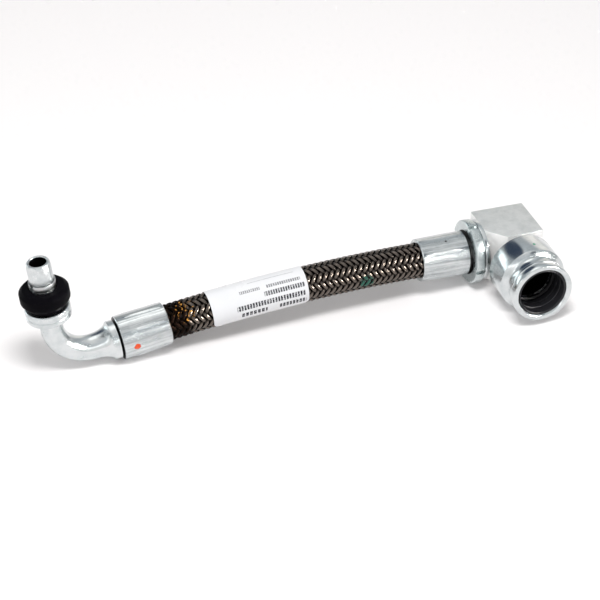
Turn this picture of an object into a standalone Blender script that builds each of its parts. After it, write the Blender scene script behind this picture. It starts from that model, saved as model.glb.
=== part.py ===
# Steel-braided oil hose: a bent push-in spigot at one end, a block elbow with a socket port at the other.
# It lies at rest as it would on a table: the hose arches between its two crimped ends, the spigot points up.
# All sizes below are in millimetres and angles in degrees; MM turns lengths into metres.
import bpy
import bmesh
from math import atan, cos, pi, radians, sin, sqrt, tan
from mathutils import Matrix, Vector

MM = 0.001
GAP = 0.3                    # clearance between pieces that touch

# Hose: half-inch bore, one layer of steel braid
HOSE_BORE_R = 6.35
HOSE_TUBE_WALL = 1.85
BRAID_R = 9.8                # over the crowns of the weave
BRAID_VALLEY = 0.45          # depth of the valleys between strands
BRAID_WALL = 1.0
BRAID_STRANDS = 12           # strands that wind each way
BRAID_PITCH = 3.8            # length along the hose from one crossing to the next
FREE_LENGTH = 146.0          # hose that shows between the two ferrules
RIGHT_PITCH = -2.9           # slope of the hose where it enters the right ferrule

# Label wrapped on the hose
LABEL_START = 24.0           # from the left ferrule's mouth
LABEL_LENGTH = 55.0
LABEL_FILM = 0.3
LABEL_LOW_ANGLE = -38.0      # lower edge, measured up from the side that faces the viewer
LABEL_WRAP = 262.0           # how far the label goes round
LABEL_CORNER_R = 4.0

# Crimped ferrules
FERRULE_LENGTH = 27.6
FERRULE_R = 12.2
FERRULE_BORE_R = BRAID_R + GAP
FERRULE_NECK = 2.4           # length of the lip that locks on the nipple
CRIMP_COUNT = 8
CRIMP_RIDGE = 0.3            # height of the ridges left between the crimping dies
CRIMP_START = 5.0            # plain band before the dies' marks
CRIMP_TAPER = 0.35           # how much slimmer the mouth is

# Nipples inside the hose ends
NIPPLE_BORE_R = 4.7
NIPPLE_STEM_R = HOSE_BORE_R - GAP
NIPPLE_BARB = 0.6            # depth of the barbs
NIPPLE_BARBS = 3
NIPPLE_NECK_R = 8.3
NIPPLE_SHOULDER_R = 9.6
SHOULDER_WIDTH = 2.0
LOCK_GAP = 0.7               # dark groove between ferrule and collar
HOSE_END_INSET = FERRULE_NECK + GAP + SHOULDER_WIDTH + GAP
STEM_TAIL = 3.5              # how far the stem stops short of the ferrule's mouth

# Bent tube and its collar
COLLAR_R = 10.8
COLLAR_WIDTH = 4.3
COLLAR_STEP = 1.0            # height of the collar over the end of the flare
FLARE_LENGTH = 8.6
FLARE_HOLLOW = 1.6           # how far the flare's profile bows in
TUBE_R = 6.3
TUBE_SWELL = 0.8             # how much the tube grows towards the flare
TUBE_BEND_R = 20.0           # centre-line radius of the bend
TUBE_SOCKET = 6.0            # depth that the tube sits in the spigot
SPIGOT_OFFSET = 34.3         # spigot axis to the left ferrule's outer face

# Push-in spigot, heights above the hose axis
SPIGOT_TIP_H = 63.8
SPIGOT_TIP_R = 6.5
SPIGOT_STEM_R = 6.8
SPIGOT_TIP_CHAMFER = 0.9
SPIGOT_TIP_STEP = 2.6        # length of the slimmer tip
SPIGOT_FLANGE_R = 12.5
SPIGOT_FLANGE_H = 28.0
SPIGOT_FLANGE_WIDTH = 7.2
SPIGOT_RING_SEAT_R = 6.4
DUST_RING_R = 13.7
DUST_RING_WIDTH = 12.0
DUST_RING_TOP_CHAMFER = 2.2
DUST_RING_FOOT_CHAMFER = 3.2
DUST_RING_FOOT_HEIGHT = 4.6
SEAL_R = 0.9                 # cord radius of the O-rings
SEAL_SQUEEZE_GAP = 0.25
RETAINING_RING_R = 7.4
RETAINING_RING_WIDTH = 3.8
RETAINING_RING_GAP = 20.0
RETAINING_RING_TURN = 5.0    # where the gap lies, from the side away from the hose towards the viewer

# Union nut and lock washer at the block
UNION_START = 1.4            # nut face to the right ferrule's outer face
UNION_R = 17.8
UNION_WIDTH = 5.2
UNION_LIP = 1.3
UNION_BORE_R = 13.8
SPANNER_SLOTS = 4
SPANNER_SLOT_WIDTH = 2.6
SPANNER_SLOT_DEPTH = 1.3
SPANNER_SLOT_TURN = 12.0     # first slot, round from the top
NIPPLE_HEAD_WIDTH = 1.6
WASHER_R = 16.9
WASHER_WIDTH = 3.0

# Block elbow
BLOCK_SIZE = 31.0            # across flats, all three ways
BLOCK_RELIEF_SIDE = 9.6      # front corner relief, measured on the port side
BLOCK_RELIEF_DEPTH = 9.9     # and on the hose side
BLOCK_NOSE_R = UNION_BORE_R - GAP
BLOCK_BORE_R = 4.0
BLOCK_EDGE = 0.5

# Socket port body, measured from the hose axis towards the viewer
PORT_REACH = 52.8            # hose axis to the mouth
PORT_BODY_R = 18.9
PORT_BODY_BACK = 20.6
PORT_BODY_FRONT = 39.3
PORT_BODY_CHAMFER = 1.4
PORT_NECK_R = 13.6
PORT_GROOVE_R = 15.7
PORT_LIP_R = 17.2
PORT_LIP_WIDTH = 7.4
PORT_LIP_LINE = 4.6          # fine groove in the lip, from the mouth
PORT_LIP_CHAMFER = 0.8       # lead-in inside the lip
PORT_BORE_R = 12.8
PORT_LINER_WALL = 0.9
PORT_LINER_DEPTH = 13.6
PORT_LINER_INSET = 0.8       # mouth to the liner's face
PORT_LINER_EDGE = 0.4
PORT_RING_BORE_R = 11.8
PORT_RING_WIDTH = 1.4
PORT_RING_GAP = 24.0
PORT_POCKET_R = 12.2
PORT_POCKET_DEPTH = 30.0
PORT_STUB_R = 9.6
PORT_STUB_LENGTH = 7.0
PORT_THROAT_R = 5.2

# Smoothness of the round pieces
FINE = 32
MEDIUM = 24
COARSE = 20
HIDDEN = 16

UNION_END = UNION_START + UNION_WIDTH
BLOCK_START = UNION_END + GAP + WASHER_WIDTH + GAP
BLOCK_HALF = BLOCK_SIZE / 2
PORT_X = BLOCK_START + BLOCK_HALF
HOSE_TUBE_R = HOSE_BORE_R + HOSE_TUBE_WALL
HOSE_SPAN = 2 * FERRULE_LENGTH + FREE_LENGTH


def clear_scene():
    for item in list(bpy.data.objects):
        bpy.data.objects.remove(item)


def finish(name, colour, roughness, metallic):
    made = bpy.data.materials.new(name)
    made.use_nodes = True
    shader = made.node_tree.nodes["Principled BSDF"]
    shader.inputs["Base Color"].default_value = (*colour, 1.0)
    shader.inputs["Roughness"].default_value = roughness
    shader.inputs["Metallic"].default_value = metallic
    made.diffuse_color = (*colour, 1.0)
    return made


def add_object(name, bm, material, frame, smooth_angle=30):
    bmesh.ops.recalc_face_normals(bm, faces=bm.faces[:])
    mesh = bpy.data.meshes.new(name)
    bm.to_mesh(mesh)
    bm.free()
    mesh.materials.append(material)
    mesh.shade_smooth()
    mesh.set_sharp_from_angle(angle=radians(smooth_angle))
    made = bpy.data.objects.new(name, mesh)
    bpy.context.collection.objects.link(made)
    made.parent = frame
    return made


def add_frame(name, parent, matrix):
    frame = bpy.data.objects.new(name, None)
    bpy.context.collection.objects.link(frame)
    frame.parent = parent
    frame.matrix_local = matrix
    return frame


# Turned pieces: a closed outline of (along the axis, radius) points is spun about local X
def spun_mesh(outline, segments, turn=360.0, start=0.0):
    bm = bmesh.new()
    ring = [bm.verts.new((x * MM, 0.0, r * MM)) for x, r in outline]
    edges = [bm.edges.new((ring[i], ring[(i + 1) % len(ring)])) for i in range(len(ring))]
    closed = turn >= 360.0
    geometry = ring + edges
    if not closed:
        geometry.append(bm.faces.new(ring))
    bmesh.ops.spin(bm, geom=geometry, cent=(0, 0, 0), axis=(1, 0, 0), angle=radians(turn),
                   steps=segments, use_merge=closed)
    bmesh.ops.rotate(bm, verts=bm.verts[:], cent=(0, 0, 0), matrix=Matrix.Rotation(radians(start), 3, "X"))
    return bm


def turned(name, outline, material, frame, segments=MEDIUM):
    return add_object(name, spun_mesh(outline, segments), material, frame)


def seal_ring(name, position, centre_r, material, frame):
    sides = 6
    outline = [(position + SEAL_R * cos(2 * pi * i / sides), centre_r + SEAL_R * sin(2 * pi * i / sides))
               for i in range(sides)]
    return turned(name, outline, material, frame, HIDDEN)


# Swept tubes: rings of points on a path, an outer skin and an inner skin joined at both ends
def swept_shell(name, stations, outer_r, inner_r, material, frame, segments, wrap=None, swell=0.0):
    closed = wrap is None
    count = segments if closed else segments + 1
    bm = bmesh.new()
    skins = []
    last = len(stations) - 1
    for start_r, end_r in ((outer_r + swell, outer_r), (inner_r, inner_r)):
        rings = []
        for index, (centre, along, up) in enumerate(stations):
            side = along.cross(up)
            radius = start_r + (end_r - start_r) * index / last
            low, high = (0.0, 360.0) if closed else wrap(index)
            ring = []
            for step in range(count):
                angle = radians(low + (high - low) * step / segments)
                ring.append(bm.verts.new((centre + (side * cos(angle) + up * sin(angle)) * radius) * MM))
            rings.append(ring)
        skins.append(rings)
    spans = count if closed else count - 1
    for rings in skins:
        for row in range(last):
            for step in range(spans):
                after = (step + 1) % count
                near, far = rings[row], rings[row + 1]
                bm.faces.new((near[step], near[after], far[after], far[step]))
    outer, inner = skins
    for row in (0, last):
        for step in range(spans):
            after = (step + 1) % count
            bm.faces.new((outer[row][step], outer[row][after], inner[row][after], inner[row][step]))
    if not closed:
        for row in range(last):
            for step in (0, count - 1):
                bm.faces.new((outer[row][step], outer[row + 1][step], inner[row + 1][step], inner[row][step]))
    return add_object(name, bm, material, frame)


# Route of the hose in the upright plane y = 0
def rise_of_arc(left, right):
    return FREE_LENGTH * (cos(right) - cos(left)) / (left - right)


def rest_roll():
    # the socket body is wider than the block, so the object leans back on the block's rear edge
    overhang = PORT_BODY_R - BLOCK_HALF + BLOCK_HALF * tan(radians(RIGHT_PITCH))
    return atan(overhang / (PORT_BODY_BACK + PORT_BODY_CHAMFER + BLOCK_HALF))


def right_axis_height(roll):
    slope = radians(RIGHT_PITCH)
    corner = (BLOCK_START + BLOCK_SIZE) * sin(slope) - cos(slope) * BLOCK_HALF * (sin(roll) + cos(roll))
    return -corner


def left_slope(roll):
    # the slope of the left ferrule at which both ends touch the table
    wanted = right_axis_height(roll)
    right = radians(RIGHT_PITCH)
    low, high = radians(0.5), radians(25.0)
    for _ in range(60):
        middle = (low + high) / 2
        height = (FERRULE_R * cos(middle) + FERRULE_LENGTH * (sin(middle) + sin(right))
                  + rise_of_arc(middle, right))
        if height < wanted:
            low = middle
        else:
            high = middle
    return (low + high) / 2


ROLL = rest_roll()
LEFT_SLOPE = left_slope(ROLL)
RIGHT_SLOPE = radians(RIGHT_PITCH)


def slope_axes(slope):
    return Vector((cos(slope), 0.0, sin(slope))), Vector((-sin(slope), 0.0, cos(slope)))


def hose_station(distance):
    # a point on the hose's centre line, measured from the left ferrule's outer face
    along, up = slope_axes(LEFT_SLOPE)
    start = Vector((0.0, 0.0, FERRULE_R * cos(LEFT_SLOPE)))
    if distance <= FERRULE_LENGTH:
        return start + along * distance, along, up
    mouth = start + along * FERRULE_LENGTH
    into = min(distance - FERRULE_LENGTH, FREE_LENGTH)
    slope = LEFT_SLOPE + (RIGHT_SLOPE - LEFT_SLOPE) * into / FREE_LENGTH
    bend_r = FREE_LENGTH / (LEFT_SLOPE - RIGHT_SLOPE)
    centre = mouth + Vector((bend_r * (sin(LEFT_SLOPE) - sin(slope)), 0.0,
                             bend_r * (cos(slope) - cos(LEFT_SLOPE))))
    along, up = slope_axes(slope)
    return centre + along * max(0.0, distance - FERRULE_LENGTH - FREE_LENGTH), along, up


def stations_between(start, end, count):
    return [hose_station(start + (end - start) * i / (count - 1)) for i in range(count)]


def add_end_frame(name, parent, distance):
    centre, along, up = hose_station(distance)
    side = up.cross(along)
    turn = Matrix((along, side, up)).transposed().to_4x4()
    lean = Matrix.Rotation(-ROLL, 4, "X")
    return add_frame(name, parent, Matrix.Translation(centre * MM) @ turn @ lean)


# Hose
def hose_tube(material, frame):
    stations = stations_between(HOSE_END_INSET, HOSE_SPAN - HOSE_END_INSET, 7)
    return swept_shell("hose_tube", stations, HOSE_TUBE_R, HOSE_BORE_R, material, frame, HIDDEN)


def steel_braid(material, frame):
    # Strands cross on a lattice of diamonds; each strand goes over two and under two, so a float
    # covers two diamonds and carries one ridge. Floats lean one way in one band and back in the next.
    columns = 2 * BRAID_STRANDS
    rows = 2 * round(FREE_LENGTH / BRAID_PITCH)
    valley_r = BRAID_R - BRAID_VALLEY
    bm = bmesh.new()
    knots = {}
    stations = stations_between(FERRULE_LENGTH, FERRULE_LENGTH + FREE_LENGTH, rows + 1)
    for row, (centre, along, up) in enumerate(stations):
        side = along.cross(up)
        for column in range(columns):
            crown = (column + row) % 2 == 1
            if crown and row in (0, rows):
                continue
            angle = 2 * pi * column / columns
            radius = BRAID_R if crown else valley_r
            knots[row, column] = bm.verts.new((centre + (side * cos(angle) + up * sin(angle)) * radius) * MM)

    def knot(row, column):
        return knots[row, column % columns]

    for row in range(rows):
        for column in range(columns):
            if (row + column) % 2 == 1:
                # an edge of the lattice runs from (row, column + 1) to (row + 1, column)
                low, high = knot(row, column + 1), knot(row + 1, column)
                before, after = (row, column), (row + 1, column + 1)
                float_edge = column % 4 == 1
            else:
                low, high = knot(row, column), knot(row + 1, column + 1)
                before, after = (row + 1, column), (row, column + 1)
                float_edge = column % 4 == 3
            crowns = [knots.get((r, c % columns)) for r, c in (before, after)]
            if float_edge and None not in crowns:
                bm.faces.new((crowns[0], crowns[1], low))
                bm.faces.new((crowns[0], crowns[1], high))
            else:
                for crown in crowns:
                    if crown is not None:
                        bm.faces.new((crown, low, high))
    for row, toward in ((0, 1), (rows, -1)):
        for column in range(columns):
            if (row + column) % 2 == 0:
                bm.faces.new((knot(row, column), knot(row, column + 2), knot(row + toward, column + 1)))
    add_braid_ends(bm, [knot(0, c) for c in range(0, columns, 2)],
                   [knot(rows, c) for c in range(rows % 2, columns, 2)])
    return add_object("steel_braid", bm, material, frame, smooth_angle=12)


def add_braid_ends(bm, first, last):
    # under the ferrules the braid is pressed flat; the inner wall closes the sleeve
    bore_r = BRAID_R - BRAID_WALL
    for ring, at, end in ((first, FERRULE_LENGTH, HOSE_END_INSET),
                          (last, HOSE_SPAN - FERRULE_LENGTH, HOSE_SPAN - HOSE_END_INSET)):
        here, there = hose_station(at)[0], hose_station(end)[0]
        shift = (there - here) * MM
        outer = [bm.verts.new(v.co + shift) for v in ring]
        for i in range(len(ring)):
            j = (i + 1) % len(ring)
            bm.faces.new((ring[i], ring[j], outer[j], outer[i]))
        ring[:] = outer
    rings = []
    inner_stations = stations_between(HOSE_END_INSET, HOSE_SPAN - HOSE_END_INSET, 7)
    for centre, along, up in inner_stations:
        side = along.cross(up)
        ring = []
        for step in range(2 * BRAID_STRANDS):
            angle = pi * step / BRAID_STRANDS
            ring.append(bm.verts.new((centre + (side * cos(angle) + up * sin(angle)) * bore_r) * MM))
        rings.append(ring)
    size = 2 * BRAID_STRANDS
    for lower, upper in zip(rings, rings[1:]):
        for step in range(size):
            after = (step + 1) % size
            bm.faces.new((lower[step], lower[after], upper[after], upper[step]))
    for outer, inner in ((first, rings[0]), (last, rings[-1])):
        for i in range(BRAID_STRANDS):
            j = (i + 1) % BRAID_STRANDS
            middle, beyond = inner[2 * i + 1], inner[(2 * i + 2) % size]
            bm.faces.new((outer[i], inner[2 * i], middle))
            bm.faces.new((outer[i], middle, outer[j]))
            bm.faces.new((outer[j], middle, beyond))


def label_wrap(material, frame):
    start = FERRULE_LENGTH + LABEL_START
    marks = [0.0, 1.2, LABEL_CORNER_R]
    along = marks + [LABEL_LENGTH / 2]
    along += [LABEL_LENGTH - mark for mark in reversed(marks)]
    inner_r = BRAID_R + GAP

    def wrap(index):
        edge = min(along[index], LABEL_LENGTH - along[index])
        inset = 0.0
        if edge < LABEL_CORNER_R:
            inset = LABEL_CORNER_R - sqrt(LABEL_CORNER_R ** 2 - (LABEL_CORNER_R - edge) ** 2)
        trim = inset / inner_r * 180 / pi
        return LABEL_LOW_ANGLE + trim, LABEL_LOW_ANGLE + LABEL_WRAP - trim

    stations = [hose_station(start + distance) for distance in along]
    outer_r = inner_r + LABEL_FILM
    return swept_shell("label_wrap", stations, outer_r, inner_r, material, frame, COARSE, wrap=wrap)


# Crimped ferrule: turned shell with ridges left between the crimping dies, neck at x = 0
def ferrule(name, material, frame, way):
    mouth_r = FERRULE_R - CRIMP_TAPER
    edge = 0.5
    outline = [
        (edge, FERRULE_R), (CRIMP_START, FERRULE_R), (CRIMP_START + 1.0, FERRULE_R),
        (FERRULE_LENGTH - 2.5, mouth_r), (FERRULE_LENGTH - 1.5, mouth_r),
        (FERRULE_LENGTH, mouth_r - edge), (FERRULE_LENGTH, FERRULE_BORE_R),
        (FERRULE_NECK, FERRULE_BORE_R), (FERRULE_NECK, NIPPLE_NECK_R + GAP), (0.0, NIPPLE_NECK_R + GAP),
        (0.0, FERRULE_R - edge),
    ]
    bm = spun_mesh(outline, FINE)
    die_span = FINE // CRIMP_COUNT
    for vert in bm.verts:
        x, radius = vert.co.x / MM, Vector((vert.co.y, vert.co.z)).length / MM
        pressed = CRIMP_START + 0.5 < x < FERRULE_LENGTH - 2.0 and radius > mouth_r - 0.1
        if not pressed:
            continue
        step = round(Vector((0.0, 1.0)).angle_signed(Vector((vert.co.y, vert.co.z))) / (2 * pi) * FINE)
        change = CRIMP_RIDGE if step % die_span == 0 else -CRIMP_RIDGE / 2
        scale = 1 + change / radius
        vert.co.y *= scale
        vert.co.z *= scale
    if way < 0:
        bmesh.ops.rotate(bm, verts=bm.verts[:], cent=(0, 0, 0), matrix=Matrix.Rotation(pi, 3, "Z"))
    return add_object(name, bm, material, frame)


# The barbed stem of a nipple, from its shoulder to its tail, as outline points with x growing into the hose
def barbed_stem():
    root_x = FERRULE_NECK + GAP + SHOULDER_WIDTH
    tail_x = FERRULE_LENGTH - STEM_TAIL
    pitch = (tail_x - root_x - 2.0) / NIPPLE_BARBS
    points = [(root_x, NIPPLE_STEM_R - NIPPLE_BARB)]
    for i in range(NIPPLE_BARBS):
        x = root_x + 1.0 + i * pitch
        points += [(x, NIPPLE_STEM_R - NIPPLE_BARB), (x + 0.2, NIPPLE_STEM_R)]
    points += [(tail_x, NIPPLE_STEM_R - NIPPLE_BARB), (tail_x, NIPPLE_BORE_R)]
    return points


def left_nipple(material, frame):
    # the tube's end is brazed against the flare, whose profile bows in from the tube to the collar
    collar_face = -LOCK_GAP
    collar_back = collar_face - COLLAR_WIDTH
    shoulder = FERRULE_NECK + GAP
    edge = 0.4
    flare_start_r = TUBE_R + TUBE_SWELL
    flare_rise = COLLAR_R - COLLAR_STEP - flare_start_r
    outline = [(flare_end_x(), NIPPLE_BORE_R)]
    for share in (0.0, 0.4, 0.7):
        bow = FLARE_HOLLOW * sin(pi * share)
        radius = flare_start_r + (flare_rise - bow) * share
        outline.append((flare_end_x() + FLARE_LENGTH * share, radius))
    outline += [
        (collar_back, COLLAR_R - COLLAR_STEP), (collar_back + edge, COLLAR_R), (collar_face - edge, COLLAR_R),
        (collar_face, COLLAR_R - edge), (collar_face, NIPPLE_NECK_R), (shoulder, NIPPLE_NECK_R),
        (shoulder, NIPPLE_SHOULDER_R), (shoulder + SHOULDER_WIDTH, NIPPLE_SHOULDER_R),
    ]
    outline += barbed_stem()
    return turned("left_nipple", outline, material, frame, COARSE)


def flare_end_x():
    return -(LOCK_GAP + COLLAR_WIDTH + FLARE_LENGTH)


def right_nipple(material, frame):
    # modelled like the left one, x growing into the hose; its frame is turned to face the block
    neck_x = -(UNION_START + UNION_LIP + GAP)
    head_end = neck_x - NIPPLE_HEAD_WIDTH
    shoulder = FERRULE_NECK + GAP
    outline = [
        (head_end, NIPPLE_BORE_R), (head_end, BLOCK_NOSE_R - 0.5), (head_end + 0.5, BLOCK_NOSE_R),
        (neck_x, BLOCK_NOSE_R), (neck_x, NIPPLE_NECK_R), (shoulder, NIPPLE_NECK_R),
        (shoulder, NIPPLE_SHOULDER_R), (shoulder + SHOULDER_WIDTH, NIPPLE_SHOULDER_R),
    ]
    outline += barbed_stem()
    return turned("right_nipple", outline, material, frame, COARSE)


def elbow_tube(material, frame):
    # in the left end's frame: away from the flare, round the bend, up into the spigot
    start_x = flare_end_x() - GAP
    bend_x = -SPIGOT_OFFSET + TUBE_BEND_R
    top_z = SPIGOT_FLANGE_H + TUBE_SOCKET - GAP
    level, upright = Vector((-1, 0, 0)), Vector((0, 0, 1))
    stations = [(Vector((start_x, 0, 0)), level, upright), (Vector((bend_x, 0, 0)), level, upright)]
    steps = 8
    for i in range(1, steps + 1):
        turn = pi / 2 * i / steps
        along = Vector((-cos(turn), 0, sin(turn)))
        centre = Vector((bend_x - TUBE_BEND_R * sin(turn), 0, TUBE_BEND_R * (1 - cos(turn))))
        stations.append((centre, along, Vector((sin(turn), 0, cos(turn)))))
    stations.append((Vector((-SPIGOT_OFFSET, 0, top_z)), stations[-1][1], stations[-1][2]))
    return swept_shell("elbow_tube", stations, TUBE_R, NIPPLE_BORE_R, material, frame, COARSE,
                       swell=TUBE_SWELL)


# Spigot: x runs up the spigot, from the hose axis
def male_spigot(material, frame):
    flange_top = SPIGOT_FLANGE_H + SPIGOT_FLANGE_WIDTH
    ring_top = flange_top + 2 * GAP + DUST_RING_WIDTH + GAP
    tip_start = SPIGOT_TIP_H - SPIGOT_TIP_STEP
    seal_low, seal_high = seal_groove()
    socket_r = TUBE_R + GAP
    edge = 0.6
    outline = [
        (SPIGOT_TIP_H, SPIGOT_TIP_R - SPIGOT_TIP_CHAMFER), (SPIGOT_TIP_H - SPIGOT_TIP_CHAMFER, SPIGOT_TIP_R),
        (tip_start, SPIGOT_TIP_R), (tip_start - 0.4, SPIGOT_STEM_R),
        (ring_top + RETAINING_RING_WIDTH + GAP, SPIGOT_STEM_R),
        (ring_top + RETAINING_RING_WIDTH + GAP, SPIGOT_RING_SEAT_R), (ring_top - GAP, SPIGOT_RING_SEAT_R),
        (ring_top - GAP, SPIGOT_STEM_R), (seal_high, SPIGOT_STEM_R), (seal_high, seal_floor_r()),
        (seal_low, seal_floor_r()), (seal_low, SPIGOT_STEM_R), (flange_top, SPIGOT_STEM_R),
        (flange_top, SPIGOT_FLANGE_R - edge), (flange_top - edge, SPIGOT_FLANGE_R),
        (SPIGOT_FLANGE_H + edge, SPIGOT_FLANGE_R), (SPIGOT_FLANGE_H, SPIGOT_FLANGE_R - edge),
        (SPIGOT_FLANGE_H, socket_r), (SPIGOT_FLANGE_H + TUBE_SOCKET, socket_r),
        (SPIGOT_FLANGE_H + TUBE_SOCKET, NIPPLE_BORE_R), (SPIGOT_TIP_H, NIPPLE_BORE_R),
    ]
    return turned("male_spigot", outline, material, frame)


def seal_groove():
    low = SPIGOT_FLANGE_H + SPIGOT_FLANGE_WIDTH + 1.2
    return low, low + 2 * (SEAL_R + SEAL_SQUEEZE_GAP)


def seal_floor_r():
    return SPIGOT_STEM_R - 1.1


def dust_ring(material, frame):
    low = SPIGOT_FLANGE_H + SPIGOT_FLANGE_WIDTH + GAP
    high = low + DUST_RING_WIDTH
    seal_room_r = seal_floor_r() + 2 * (SEAL_R + SEAL_SQUEEZE_GAP) + 0.3
    seal_room_top = seal_groove()[1] + 0.6
    outline = [
        (high, DUST_RING_R - DUST_RING_TOP_CHAMFER), (high - DUST_RING_TOP_CHAMFER, DUST_RING_R),
        (low + DUST_RING_FOOT_HEIGHT, DUST_RING_R), (low, DUST_RING_R - DUST_RING_FOOT_CHAMFER),
        (low, seal_room_r), (seal_room_top, seal_room_r),
        (seal_room_top, SPIGOT_STEM_R + GAP), (high, SPIGOT_STEM_R + GAP),
    ]
    return turned("dust_ring", outline, material, frame, FINE)


def retaining_ring(material, frame):
    low = SPIGOT_FLANGE_H + SPIGOT_FLANGE_WIDTH + 2 * GAP + DUST_RING_WIDTH + GAP
    inner_r = SPIGOT_RING_SEAT_R + GAP
    edge = 0.25
    outline = [
        (low + edge, RETAINING_RING_R), (low + RETAINING_RING_WIDTH - edge, RETAINING_RING_R),
        (low + RETAINING_RING_WIDTH, RETAINING_RING_R - edge), (low + RETAINING_RING_WIDTH, inner_r),
        (low, inner_r), (low, RETAINING_RING_R - edge),
    ]
    bm = spun_mesh(outline, COARSE, 360.0 - RETAINING_RING_GAP, RETAINING_RING_TURN + RETAINING_RING_GAP / 2)
    return add_object("retaining_ring", bm, material, frame)


# Pieces between the right ferrule and the block
def slot_cutter(frame, index, face_x):
    bm = bmesh.new()
    bmesh.ops.create_cube(bm, size=1.0)
    reach = 2 * SPANNER_SLOT_DEPTH
    bmesh.ops.scale(bm, verts=bm.verts[:], vec=(UNION_WIDTH * 2 * MM, SPANNER_SLOT_WIDTH * MM, reach * MM))
    bmesh.ops.translate(bm, verts=bm.verts[:], vec=(face_x * MM, 0, UNION_R * MM))
    bmesh.ops.rotate(bm, verts=bm.verts[:], cent=(0, 0, 0),
                     matrix=Matrix.Rotation(radians(SPANNER_SLOT_TURN + 360 * index / SPANNER_SLOTS), 3, "X"))
    mesh = bpy.data.meshes.new("slot_cutter")
    bm.to_mesh(mesh)
    bm.free()
    return add_cutter(f"slot_cutter_{index}", mesh, frame)


def add_cutter(name, mesh, frame):
    cutter = bpy.data.objects.new(name, mesh)
    bpy.context.collection.objects.link(cutter)
    cutter.parent = frame
    cutter.hide_render = True
    cutter.display_type = "WIRE"
    return cutter


def cut(target, cutter):
    modifier = target.modifiers.new(cutter.name, "BOOLEAN")
    modifier.operation = "DIFFERENCE"
    modifier.solver = "EXACT"
    modifier.object = cutter


def union_nut(material, frame):
    edge = 0.5
    outline = [
        (UNION_START, UNION_R - edge), (UNION_START + edge, UNION_R), (UNION_END - edge, UNION_R),
        (UNION_END, UNION_R - edge), (UNION_END, UNION_BORE_R), (UNION_START + UNION_LIP, UNION_BORE_R),
        (UNION_START + UNION_LIP, NIPPLE_NECK_R + GAP), (UNION_START, NIPPLE_NECK_R + GAP),
    ]
    nut = turned("union_nut", outline, material, frame, FINE)
    for index in range(SPANNER_SLOTS):
        cut(nut, slot_cutter(frame, index, (UNION_START + UNION_END) / 2))
    return nut


def lock_washer(material, frame):
    low = UNION_END + GAP
    edge = 0.4
    outline = [
        (low, WASHER_R - edge), (low + edge, WASHER_R), (low + WASHER_WIDTH - edge, WASHER_R),
        (low + WASHER_WIDTH, WASHER_R - edge), (low + WASHER_WIDTH, BLOCK_NOSE_R + GAP),
        (low, BLOCK_NOSE_R + GAP),
    ]
    return turned("lock_washer", outline, material, frame)


def nose_face_x():
    return UNION_START + UNION_LIP + GAP + NIPPLE_HEAD_WIDTH + GAP


def face_seal_r():
    return (NIPPLE_BORE_R + BLOCK_NOSE_R) / 2


def rod(start, end, radius, segments, axis="X"):
    bm = bmesh.new()
    bmesh.ops.create_cone(bm, cap_ends=True, segments=segments, radius1=radius * MM, radius2=radius * MM,
                          depth=(end - start) * MM)
    bmesh.ops.translate(bm, verts=bm.verts[:], vec=(0, 0, (start + end) / 2 * MM))
    if axis == "X":
        bmesh.ops.rotate(bm, verts=bm.verts[:], cent=(0, 0, 0), matrix=Matrix.Rotation(pi / 2, 3, "Y"))
    if axis == "Y":
        bmesh.ops.rotate(bm, verts=bm.verts[:], cent=(0, 0, 0), matrix=Matrix.Rotation(pi / 2, 3, "X"))
    return bm


def mesh_from(name, bm):
    mesh = bpy.data.meshes.new(name)
    bm.to_mesh(mesh)
    bm.free()
    return mesh


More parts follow.
